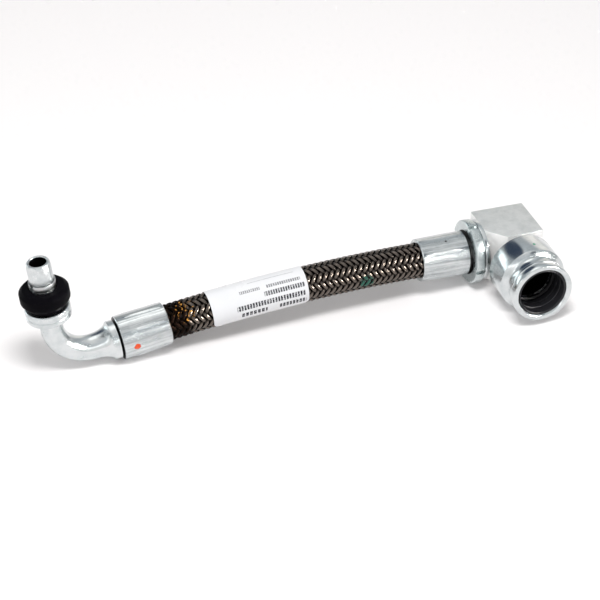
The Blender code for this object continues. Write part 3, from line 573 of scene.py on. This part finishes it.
# port body, distances from the hose axis to the mouth
portShape = {"mouth": 52.8, "bodyRadius": 18.9, "bodyBack": 20.6, "bodyFront": 39.3, "chamfer": 1.4,
             "neck": 13.6, "groove": 15.7, "lip": 17.2, "lipWidth": 7.4, "lipLine": 4.6, "seat": 14.0,
             "lipChamfer": 0.8, "pocket": 12.2, "pocketDepth": 30.0, "neckStart": 15.7, "drill": 5.2,
             "drillCone": 3.0}
linerShape = {"face": 52.0, "depth": 13.6, "bore": 12.8, "outer": 13.7, "behind": 4.1, "ribDepth": 0.3}


def makePortBody():
    shape = portShape
    mouth, radius, lip, groove = shape["mouth"], shape["bodyRadius"], shape["lip"], shape["groove"]
    back, front, chamfer = shape["bodyBack"], shape["bodyFront"], shape["chamfer"]
    lipBack, line = mouth - shape["lipWidth"], mouth - shape["lipLine"]
    ledge = linerShape["face"] - linerShape["depth"] - linerShape["behind"]
    lead, start, drill = shape["lipChamfer"], shape["neckStart"], shape["drill"]
    pocket, floor = shape["pocket"], mouth - shape["pocketDepth"]
    piece = turnPiece("turnedPortBody", [
        (start, shape["neck"]), (back, shape["neck"]), (back, radius - chamfer), (back + chamfer, radius),
        (front - chamfer, radius), (front, radius - chamfer), (front + 0.5, groove + 1.1),
        (front + 1.1, groove + 0.3), (front + 1.8, groove), (lipBack - 0.5, groove), (lipBack, lip - 0.6),
        (lipBack + 0.6, lip), (line - 0.55, lip), (line - 0.3, lip - 0.45), (line - 0.05, lip),
        (mouth - 0.7, lip), (mouth - 0.2, lip - 0.25), (mouth, lip - 0.7), (mouth, shape["seat"] + lead),
        (mouth - lead, shape["seat"]), (ledge, shape["seat"]), (ledge, pocket), (floor, pocket),
        (floor - shape["drillCone"], drill), (start, drill),
    ], sides=144, edge=0.14)
    return finishPiece(piece, alongAxis("port"), ["port_body"])


def makePortLiner():
    shape = linerShape
    face, bore, outer, rib = shape["face"], shape["bore"], shape["outer"], shape["ribDepth"]
    back = face - shape["depth"]
    piece = turnPiece("mouldedPortLiner", [
        (back, bore), (back, outer), (face - 0.15, outer), (face, outer - 0.15), (face, bore + 0.4),
        (face - 0.4, bore), (face - 4.8, bore), (face - 5.0, bore + rib), (face - 5.6, bore + rib),
        (face - 5.8, bore), (back + 3.9, bore), (back + 3.6, bore + 0.25), (back + 3.3, bore),
    ], sides=128, edge=0.06)
    return finishPiece(piece, alongAxis("port"), ["port_liner"], 40)


portBody = makePortBody()
portLiner = makePortLiner()
print("port turned")


# label: a thin film laid on the braid, open at the back
labelShape = {"start": 24.0, "length": 55.0, "lowAngle": -38.0, "wrap": 262.0, "radius": 10.1, "film": 0.22,
              "corner": 4.0, "columns": 48, "rows": 120}


def makeLabel():
    shape = labelShape
    clearSelection()
    around = radians(shape["wrap"]) * shape["radius"]
    bpy.ops.mesh.primitive_plane_add(size=1.0)
    piece = bpy.context.object
    piece.name = "wrappedLabel"
    bpy.ops.object.mode_set(mode="EDIT")
    bpy.ops.mesh.select_all(action="SELECT")
    bpy.ops.transform.resize(value=(shape["length"] * mm, around * mm, 1.0))
    bpy.ops.mesh.bevel(offset=shape["corner"] * mm, segments=8, affect="VERTICES")
    for column in range(1, shape["columns"]):
        bpy.ops.mesh.select_all(action="SELECT")
        cut = (column / shape["columns"] - 0.5) * shape["length"] * mm
        bpy.ops.mesh.bisect(plane_co=(cut, 0, 0), plane_no=(1, 0, 0))
    for row in range(1, shape["rows"]):
        bpy.ops.mesh.select_all(action="SELECT")
        cut = (row / shape["rows"] - 0.5) * around * mm
        bpy.ops.mesh.bisect(plane_co=(0, cut, 0), plane_no=(0, 1, 0))
    bpy.ops.object.mode_set(mode="OBJECT")
    layer = piece.data.uv_layers.new(name="labelMap")
    for loop in piece.data.loops:
        place = piece.data.vertices[loop.vertex_index].co / mm
        layer.data[loop.index].uv = (place.x / shape["length"] + 0.5, place.y / around + 0.5)
    addModifier(piece, "SOLIDIFY", thickness=shape["film"] * mm, offset=1.0)
    first = hoseRoute["ferruleLength"] + shape["start"]
    for vertex in piece.data.vertices:
        x, y, z = vertex.co / mm
        across = x / shape["length"] + 0.5
        angle = radians(shape["lowAngle"] + shape["wrap"] * (y / around + 0.5))
        vertex.co = onHose(first + across * shape["length"], angle, shape["radius"] + z)
    pickOnly(piece)
    bpy.ops.object.mode_set(mode="EDIT")
    bpy.ops.mesh.select_all(action="SELECT")
    bpy.ops.mesh.normals_make_consistent(inside=False)
    bpy.ops.object.mode_set(mode="OBJECT")
    return finishPiece(piece, Matrix.Identity(4), ["label_wrap"], 40)


label = makeLabel()
print("label wrapped")


# materials
def newMaterial(name):
    made = bpy.data.materials.new(name)
    made.use_nodes = True
    tree = made.node_tree
    return made, tree, tree.nodes["Principled BSDF"]


def addNode(tree, kind, inputs=(), **values):
    made = tree.nodes.new(kind)
    for key, value in values.items():
        setattr(made, key, value)
    for key, value in dict(inputs).items():
        if isinstance(value, bpy.types.NodeSocket):
            tree.links.new(value, made.inputs[key])
        else:
            made.inputs[key].default_value = value
    return made


def mathNode(tree, operation, first, second=0.0):
    return addNode(tree, "ShaderNodeMath", {0: first, 1: second}, operation=operation).outputs[0]


def times(tree, first, second):
    return mathNode(tree, "MULTIPLY", first, second)


def plus(tree, first, second):
    return mathNode(tree, "ADD", first, second)


def mixColour(tree, amount, first, second):
    mix = addNode(tree, "ShaderNodeMix", data_type="RGBA")
    for socket, value in ((mix.inputs[0], amount), (mix.inputs[6], first), (mix.inputs[7], second)):
        if isinstance(value, bpy.types.NodeSocket):
            tree.links.new(value, socket)
        else:
            socket.default_value = value if isinstance(value, (int, float)) else (*value[:3], 1.0)
    return mix.outputs[2]


def rangeOf(tree, value, fromLow, fromHigh, toLow=0.0, toHigh=1.0):
    made = addNode(tree, "ShaderNodeMapRange", {0: value, 1: fromLow, 2: fromHigh, 3: toLow, 4: toHigh})
    return made.outputs[0]


def noiseOf(tree, vector, scale, detail=3.0, roughness=0.55):
    return addNode(tree, "ShaderNodeTexNoise", {"Vector": vector, "Scale": scale, "Detail": detail,
                                                "Roughness": roughness}).outputs[0]


def axisCoordinates(tree, axisName):
    # the plain position, its parts along and across the axis, and the distance out from the axis
    place = axisMatrix(axisName)
    coordinates = addNode(tree, "ShaderNodeTexCoord")
    mapping = addNode(tree, "ShaderNodeMapping", {"Vector": coordinates.outputs["Object"],
                                                  "Location": place.translation,
                                                  "Rotation": place.to_euler()}, vector_type="TEXTURE")
    parts = addNode(tree, "ShaderNodeSeparateXYZ", {0: mapping.outputs[0]})
    squares = [mathNode(tree, "POWER", parts.outputs[side], 2.0) for side in (1, 2)]
    return coordinates.outputs["Object"], parts, mathNode(tree, "SQRT", plus(tree, *squares))


def bumpOf(tree, shader, strength, distance, height):
    bump = addNode(tree, "ShaderNodeBump", {"Strength": strength, "Distance": distance, "Height": height})
    tree.links.new(bump.outputs[0], shader.inputs["Normal"])


def spotMask(tree, position, centre, radius, raggedness=0.35):
    # 1 inside a ball about the centre, whose edge a noise makes ragged
    offset = addNode(tree, "ShaderNodeVectorMath", {0: position, 1: Vector(centre) * mm},
                     operation="DISTANCE")
    ragged = times(tree, mathNode(tree, "SUBTRACT", noiseOf(tree, position, 900.0), 0.5),
                   radius * mm * raggedness * 2)
    return rangeOf(tree, plus(tree, offset.outputs["Value"], ragged), radius * mm, radius * mm * 0.85)


# zinc plating on turned steel: fine rings from the tool, faint clouds in the plating
platedLook = {
    "colour": (0.66, 0.685, 0.69),
    "cloudColour": (0.52, 0.56, 0.57),
    "roughLow": 0.11,
    "roughHigh": 0.23,
    "ringScale": 2600.0,
    "ringDepth": 0.08,
    "sheen": 1.0,                # how much of it shines as bare metal does
    "litSideColour": None,          # painted light: another, lighter colour for what doesn't face upwards
    "streaks": 0.0,              # lengthwise streaks left by a drawn or crimped surface
    "streakColour": (0.30, 0.32, 0.33),
    "recess": None,              # (from, to, radius): painted shade inside this radius between two places on the axis
    "recessShadeColour": (0.012, 0.013, 0.015),
}


def platedMaterial(name, axisName, spots=(), **changes):
    look = {**platedLook, **changes}
    made, tree, shader = newMaterial(name)
    position, parts, out = axisCoordinates(tree, axisName)
    rings = addNode(tree, "ShaderNodeCombineXYZ", {0: plus(tree, parts.outputs[0], out)})
    ringNoise = noiseOf(tree, rings.outputs[0], look["ringScale"], 2.0)
    clouds = noiseOf(tree, position, 140.0, 5.0, 0.65)
    specks = noiseOf(tree, position, 1800.0, 3.0, 0.6)
    colour = mixColour(tree, rangeOf(tree, clouds, 0.42, 0.72), look["colour"], look["cloudColour"])
    blotches = plus(tree, times(tree, clouds, 0.7), times(tree, specks, 0.3))
    rough = rangeOf(tree, blotches, 0.35, 0.65, look["roughLow"], look["roughHigh"])
    # painted light: faces that don't face upwards turn to the lit side colour
    if look["litSideColour"]:
        normal = tree.nodes["Texture Coordinate"].outputs["Normal"]
        upward = addNode(tree, "ShaderNodeSeparateXYZ", {0: normal}).outputs[2]
        colour = mixColour(tree, rangeOf(tree, upward, 0.6, 0.4), colour, look["litSideColour"])
    if look["streaks"]:
        # a noise that is stretched along the axis
        drawn = addNode(tree, "ShaderNodeCombineXYZ", {0: times(tree, parts.outputs[0], 0.04),
                                                       1: parts.outputs[1], 2: parts.outputs[2]}).outputs[0]
        streak = rangeOf(tree, noiseOf(tree, drawn, 520.0, 4.0, 0.7), 0.42, 0.66, 0.0, look["streaks"])
        colour = mixColour(tree, streak, colour, look["streakColour"])
        rough = plus(tree, rough, times(tree, streak, 0.15))
    # painted shade: darker and rougher inside the recess, where shade falls in bores and gaps
    if look["recess"]:
        low, high, inside = [value * mm for value in look["recess"]]
        paintedShade = times(tree, mathNode(tree, "GREATER_THAN", parts.outputs[0], low),
                      mathNode(tree, "LESS_THAN", parts.outputs[0], high))
        paintedShade = times(tree, paintedShade, mathNode(tree, "LESS_THAN", out, inside))
        colour = mixColour(tree, paintedShade, colour, look["recessShadeColour"])
        rough = plus(tree, rough, times(tree, paintedShade, 0.2))
    metallic = None
    for centre, radius, paint in spots:
        mask = spotMask(tree, position, centre, radius)
        colour = mixColour(tree, mask, colour, paint)
        keep = mathNode(tree, "SUBTRACT", 1.0, mask)
        metallic = keep if metallic is None else times(tree, metallic, keep)
    tree.links.new(colour, shader.inputs["Base Color"])
    tree.links.new(rough, shader.inputs["Roughness"])
    if metallic is None:
        shader.inputs["Metallic"].default_value = look["sheen"]
    else:
        tree.links.new(metallic, shader.inputs["Metallic"])
    bumpOf(tree, shader, look["ringDepth"], 0.2 * mm, plus(tree, ringNoise, times(tree, specks, 0.5)))
    return made


# block: plated over a blasted and milled face, nearly matte
blockLook = {
    "colour": (0.57, 0.585, 0.58),
    "cloudColour": (0.45, 0.47, 0.47),
    "roughLow": 0.38,
    "roughHigh": 0.55,
    "ringDepth": 0.12,
    # painted light: the block's sides near white, as if lit
    "litSideColour": (0.97, 0.97, 0.96),
    "sheen": 0.25,
}

# braid: dull wire with painted shade that turns it black in the gaps, sooty at the left, and marks as (centre,
# radius, raggedness) in mm
braidColours = {
    "wire": (0.15, 0.127, 0.11),
    "dullWire": (0.085, 0.068, 0.056),
    # painted shade: the near-black colour of wire low in the gaps; the dark lining below takes it as well
    "gap": (0.004, 0.003, 0.002),
    "green": (0.008, 0.09, 0.06),
    "greenSpot": ((43.7, 8.5, 20.7), 4.2, 0.4),
    "rust": (0.75, 0.34, 0.05),
    "rustSpot": ((-59.0, 14.0, 24.0), 6.5, 0.6),
    "soot": (0.012, 0.007, 0.005),
    "sootEnds": (45.5, 42.5),
    "sootWander": 9.0,
}


def braidMaterial():
    look = braidColours
    made, tree, shader = newMaterial("stainlessWire")
    position, parts = axisCoordinates(tree, "left")[:2]
    height = addNode(tree, "ShaderNodeAttribute", attribute_name="height").outputs["Fac"]
    patches = noiseOf(tree, position, 260.0, 4.0)
    crumbs = noiseOf(tree, position, 700.0, 2.0)
    # sooty where the hose leaves the left ferrule, with a few rust-yellow crumbs at its edge
    reach = plus(tree, parts.outputs[0], times(tree, patches, look["sootWander"] * mm))
    soot = rangeOf(tree, reach, *(end * mm for end in look["sootEnds"]))
    crumb = times(tree, rangeOf(tree, crumbs, 0.56, 0.6), spotMask(tree, position, *look["rustSpot"]))
    green = spotMask(tree, position, *look["greenSpot"])
    wire = mixColour(tree, rangeOf(tree, patches, 0.35, 0.75, 0.0, 0.5), look["wire"], look["dullWire"])
    wire = mixColour(tree, soot, wire, look["soot"])
    wire = mixColour(tree, crumb, wire, look["rust"])
    wire = mixColour(tree, green, wire, look["green"])
    # painted shade: the wire darkens to the gap colour as it dips under the other strands
    depth = rangeOf(tree, height, 0.3, 0.8)
    colour = mixColour(tree, mathNode(tree, "POWER", depth, 1.6), look["gap"], wire)
    paint = mathNode(tree, "MAXIMUM", green, times(tree, crumb, 0.8))
    tree.links.new(colour, shader.inputs["Base Color"])
    tree.links.new(rangeOf(tree, paint, 0.0, 1.0, 1.0, 0.1), shader.inputs["Metallic"])
    rough = plus(tree, rangeOf(tree, patches, 0.3, 0.7, 0.2, 0.3), times(tree, soot, 0.35))
    tree.links.new(rough, shader.inputs["Roughness"])
    return made


def blackMaterial(name, colour, roughLow, roughHigh, grain, gloss):
    made, tree, shader = newMaterial(name)
    position = addNode(tree, "ShaderNodeTexCoord").outputs["Object"]
    clouds = noiseOf(tree, position, 120.0, 4.0)
    fine = noiseOf(tree, position, grain, 2.0)
    shader.inputs["Specular IOR Level"].default_value = gloss
    tree.links.new(mixColour(tree, clouds, colour, [c * 1.8 for c in colour]), shader.inputs["Base Color"])
    tree.links.new(rangeOf(tree, clouds, 0.3, 0.7, roughLow, roughHigh), shader.inputs["Roughness"])
    bumpOf(tree, shader, 0.15, 0.2 * mm, fine)
    return made


# label print: rows of plain dashes, and nothing that can be read
labelPrint = {
    "paper": (0.78, 0.785, 0.80),
    "paperShade": (0.66, 0.69, 0.74),
    "ink": (0.015, 0.016, 0.024),
    # centre and half height of a row, its ends along the label, how dark
    "rows": [
        (0.098, 0.031, 0.28, 0.56, 1.0),
        (0.098, 0.031, 0.69, 0.97, 1.0),
        (0.198, 0.031, 0.25, 0.97, 1.0),
        (0.298, 0.027, 0.55, 0.97, 0.95),
        (0.380, 0.019, 0.59, 0.94, 0.75),
        (0.380, 0.019, 0.31, 0.52, 0.65),
    ],
    "line": (0.490, 0.005, 0.42, 0.90, 0.35),
    "dashes": 24.0,              # along the label in the first row, and 5 more in each next one
    "dashShare": 0.7,
}


def labelMaterial():
    made, tree, shader = newMaterial("labelFilm")
    uv = addNode(tree, "ShaderNodeUVMap", uv_map="labelMap").outputs[0]
    position = addNode(tree, "ShaderNodeTexCoord").outputs["Object"]
    parts = addNode(tree, "ShaderNodeSeparateXYZ", {0: uv})
    u, v = parts.outputs[0], parts.outputs[1]
    ink = None
    for number, row in enumerate(labelPrint["rows"] + [labelPrint["line"]]):
        centre, half, left, right, depth = row
        offset = mathNode(tree, "ABSOLUTE", mathNode(tree, "SUBTRACT", v, centre))
        inRow = mathNode(tree, "LESS_THAN", offset, half)
        inSpan = times(tree, mathNode(tree, "GREATER_THAN", u, left), mathNode(tree, "LESS_THAN", u, right))
        mark = times(tree, times(tree, inRow, inSpan), depth)
        if row != labelPrint["line"]:
            beat = mathNode(tree, "FRACT", times(tree, u, labelPrint["dashes"] + 5 * number))
            mark = times(tree, mark, mathNode(tree, "LESS_THAN", beat, labelPrint["dashShare"]))
        ink = mark if ink is None else mathNode(tree, "MAXIMUM", ink, mark)
    wear = rangeOf(tree, noiseOf(tree, position, 1500.0, 2.0), 0.36, 0.46, 0.35, 1.0)
    clouds = noiseOf(tree, position, 60.0, 3.0)
    shade = rangeOf(tree, clouds, 0.4, 0.8, 0.0, 0.25)
    paper = mixColour(tree, shade, labelPrint["paper"], labelPrint["paperShade"])
    colour = mixColour(tree, times(tree, ink, wear), paper, labelPrint["ink"])
    tree.links.new(colour, shader.inputs["Base Color"])
    tree.links.new(rangeOf(tree, clouds, 0.3, 0.7, 0.22, 0.4), shader.inputs["Roughness"])
    shader.inputs["Specular IOR Level"].default_value = 0.25
    shader.inputs["Coat Weight"].default_value = 0.08
    shader.inputs["Coat Roughness"].default_value = 0.15
    bumpOf(tree, shader, 0.12, 0.3 * mm, noiseOf(tree, position, 420.0, 2.0))
    return made


def dress(piece, material):
    if not piece.data.materials:
        piece.data.materials.append(material)
    for index in range(len(piece.data.materials)):
        piece.data.materials[index] = material


# dots on the plating: centre and radius in mm, colour
orangeDot = ((-89.1, 5.7, 13.2), 2.0, (0.72, 0.06, 0.001))
darkDot = ((92.9, 15.5, 30.8), 0.7, (0.03, 0.03, 0.03))
greenDot = ((133.6, -12.3, 38.0), 0.9, (0.02, 0.26, 0.14))

dress(braid, braidMaterial())
# recess marks painted shade in the gaps by the nut and collar, inside the bores and along the port's neck
dress(leftFerrule, platedMaterial("platedLeftFerrule", "left", [orangeDot], streaks=0.8, ringDepth=0.02,
                                  recess=(-1.0, 0.2, 11.9)))
dress(rightFerrule, platedMaterial("platedRightFerrule", "right", [darkDot], streaks=0.8, ringDepth=0.02,
                                   recess=(-0.2, 1.0, 12.0)))
dress(tube, platedMaterial("platedTube", "left", roughLow=0.16, roughHigh=0.3, ringDepth=0.05,
                           recess=(-0.75, 3.0, 10.3)))
dress(spigot, platedMaterial("platedSpigot", "spigot", roughLow=0.2, roughHigh=0.4, ringDepth=0.14,
                             recess=(30.0, 63.4, 4.8)))
dress(retainingRing, platedMaterial("springRing", "spigot", colour=(0.5, 0.5, 0.5), roughLow=0.25,
                                    roughHigh=0.45))
dress(unionNut, platedMaterial("platedNut", "right", colour=(0.55, 0.6, 0.6), roughLow=0.2, roughHigh=0.36,
                               recess=(0.0, 7.0, 12.5)))
dress(lockWasher, platedMaterial("platedWasher", "right"))
dress(portBody, platedMaterial("platedPort", "port", [greenDot], recess=(0.0, 52.0, 14.2)))
dress(block, platedMaterial("machinedBlockFace", "right", **blockLook))
dress(dustRing, blackMaterial("mouldedBlack", (0.0022, 0.002, 0.0028), 0.4, 0.55, 1400.0, 0.02))
dress(portLiner, blackMaterial("mouldedLiner", (0.012, 0.012, 0.014), 0.3, 0.45, 1800.0, 0.35))
rubber = blackMaterial("sealRubber", (0.012, 0.012, 0.013), 0.55, 0.75, 2400.0, 0.2)
for name in ("hose_tube", "spigot_seal", "face_seal", "port_seal"):
    dress(nodes[name], rubber)
dress(nodes["right_nipple"], platedMaterial("platedRightNipple", "right"))
dress(nodes["port_snap_ring"], platedMaterial("snapRingSteel", "port", roughLow=0.2, roughHigh=0.3))
dress(label, labelMaterial())
print("materials on")


# studio: pale floor, soft light from above and a weaker one from the front left, white backdrop
studio = {
    "floorSize": 8.0,
    "floorColour": (0.94, 0.92, 0.92),
    "floorGlow": 0.05,
    "lamps": [                   # place, power, width
        ("keySoftbox", (-0.1, -0.35, 1.15), 9.8, 0.5),
        ("fillSoftbox", (-0.9, -0.9, 0.9), 3.0, 0.7),
    ],
    "lampShape": 0.6,            # a lamp's height, as a share of its width
    "worldLevel": 0.48,
    # what polished metal sees, by height: a narrow window in front, and plain walls behind
    "frontSide": (-0.342, -0.940, 0.0),
    "lowest": -0.2,
    "highest": 1.0,
    "front": [
        (-0.2, (0.8, 0.8, 0.8)),
        (0.2, (0.92, 0.93, 0.93)),
        (0.37, (1.1, 1.1, 1.1)),
        (0.43, (2.0, 2.0, 2.0)),
        (0.49, (2.0, 2.0, 2.0)),
        (0.52, (0.85, 0.88, 0.9)),
        (0.70, (0.62, 0.66, 0.68)),
        (1.0, (0.9, 0.9, 0.9)),
    ],
    "back": [
        (-0.2, (0.75, 0.75, 0.75)),
        (0.05, (0.64, 0.65, 0.65)),
        (0.25, (0.52, 0.54, 0.54)),
        (0.45, (0.46, 0.49, 0.51)),
        (0.62, (0.5, 0.54, 0.57)),
        (0.8, (0.7, 0.73, 0.74)),
        (1.0, (0.9, 0.9, 0.9)),
    ],
    # and round patches: toward, the angle inside which one is full and the angle where it ends, colour
    "patches": [
        ((0.60, 0.78, 0.10), 12.0, 26.0, (1.12, 1.08, 1.03)),
        ((-0.05, 0.38, 0.92), 13.0, 20.0, (1.6, 1.6, 1.58)),
        ((-0.24, 0.80, 0.56), 15.0, 19.0, (0.04, 0.06, 0.10)),
        ((-0.62, 0.78, 0.08), 11.0, 16.0, (2.1, 2.3, 2.35)),
        ((0.36, -0.50, 0.79), 6.0, 11.0, (0.10, 0.12, 0.15)),
        ((0.68, -0.62, 0.38), 8.0, 12.0, (66.0, 64.0, 61.0)),    # the lamp that glints on the wires
    ],
}


def makeFloor():
    clearSelection()
    bpy.ops.mesh.primitive_plane_add(size=studio["floorSize"])
    floor = bpy.context.object
    floor.name = "studioFloor"
    made, tree, shader = newMaterial("paleFloor")
    path = addNode(tree, "ShaderNodeLightPath")
    shader.inputs["Base Color"].default_value = (*studio["floorColour"], 1.0)
    shader.inputs["Roughness"].default_value = 0.9
    shader.inputs["Specular IOR Level"].default_value = 0.1
    glow = addNode(tree, "ShaderNodeEmission", {"Color": (1, 1, 1, 1), "Strength": studio["floorGlow"]})
    both = addNode(tree, "ShaderNodeAddShader", {0: shader.outputs[0], 1: glow.outputs[0]})
    seen = mathNode(tree, "MAXIMUM", path.outputs["Is Camera Ray"], path.outputs["Is Glossy Ray"])
    mix = addNode(tree, "ShaderNodeMixShader", {0: seen, 1: shader.outputs[0], 2: both.outputs[0]})
    tree.links.new(mix.outputs[0], tree.nodes["Material Output"].inputs["Surface"])
    floor.data.materials.append(made)


def makeLamps():
    for name, place, power, size in studio["lamps"]:
        bpy.ops.object.light_add(type="AREA", location=place)
        lamp = bpy.context.object
        lamp.name = name
        lamp.data.shape = "RECTANGLE"
        lamp.data.size = size
        lamp.data.size_y = size * studio["lampShape"]
        lamp.data.energy = power
        lamp.visible_glossy = False
        lamp.rotation_euler = (-Vector(place)).to_track_quat("-Z", "Y").to_euler()


def wallColours(tree, height, stops):
    lowest, highest = studio["lowest"], studio["highest"]
    bands = addNode(tree, "ShaderNodeValToRGB", {0: rangeOf(tree, height, lowest, highest)})
    ramp = bands.color_ramp.elements
    for number in (0, 1):
        place, shade = stops[-number]
        ramp[number].position = (place - lowest) / (highest - lowest)
        ramp[number].color = (*shade, 1.0)
    for place, shade in stops[1:-1]:
        ramp.new((place - lowest) / (highest - lowest)).color = (*shade, 1.0)
    return bands.outputs[0]


def dotWith(tree, direction, toward):
    return addNode(tree, "ShaderNodeVectorMath", {0: direction, 1: Vector(toward).normalized()},
                   operation="DOT_PRODUCT").outputs["Value"]


def makeWorld():
    # the camera sees white, polished metal sees the room, and everything else is lit evenly
    world = bpy.data.worlds.new("whiteStudio")
    scene.world = world
    world.use_nodes = True
    tree = world.node_tree
    background = tree.nodes["Background"]
    direction = addNode(tree, "ShaderNodeTexCoord").outputs["Generated"]
    height = addNode(tree, "ShaderNodeSeparateXYZ", {0: direction}).outputs[2]
    walls = [wallColours(tree, height, studio[side]) for side in ("back", "front")]
    room = mixColour(tree, rangeOf(tree, dotWith(tree, direction, studio["frontSide"]), -0.2, 0.2), *walls)
    for toward, full, ends, shade in studio["patches"]:
        inside = rangeOf(tree, dotWith(tree, direction, toward), cos(radians(ends)), cos(radians(full)))
        room = mixColour(tree, inside, room, shade)
    path = addNode(tree, "ShaderNodeLightPath")
    level = studio["worldLevel"]
    plain = mixColour(tree, path.outputs["Is Camera Ray"], (level, level, level), (1.0, 1.0, 1.0))
    colour = mixColour(tree, path.outputs["Is Glossy Ray"], plain, room)
    tree.links.new(colour, background.inputs["Color"])


makeFloor()
makeLamps()
makeWorld()
print("studio lit")
scene.view_settings.view_transform = "Standard"

bpy.context.view_layer.update()
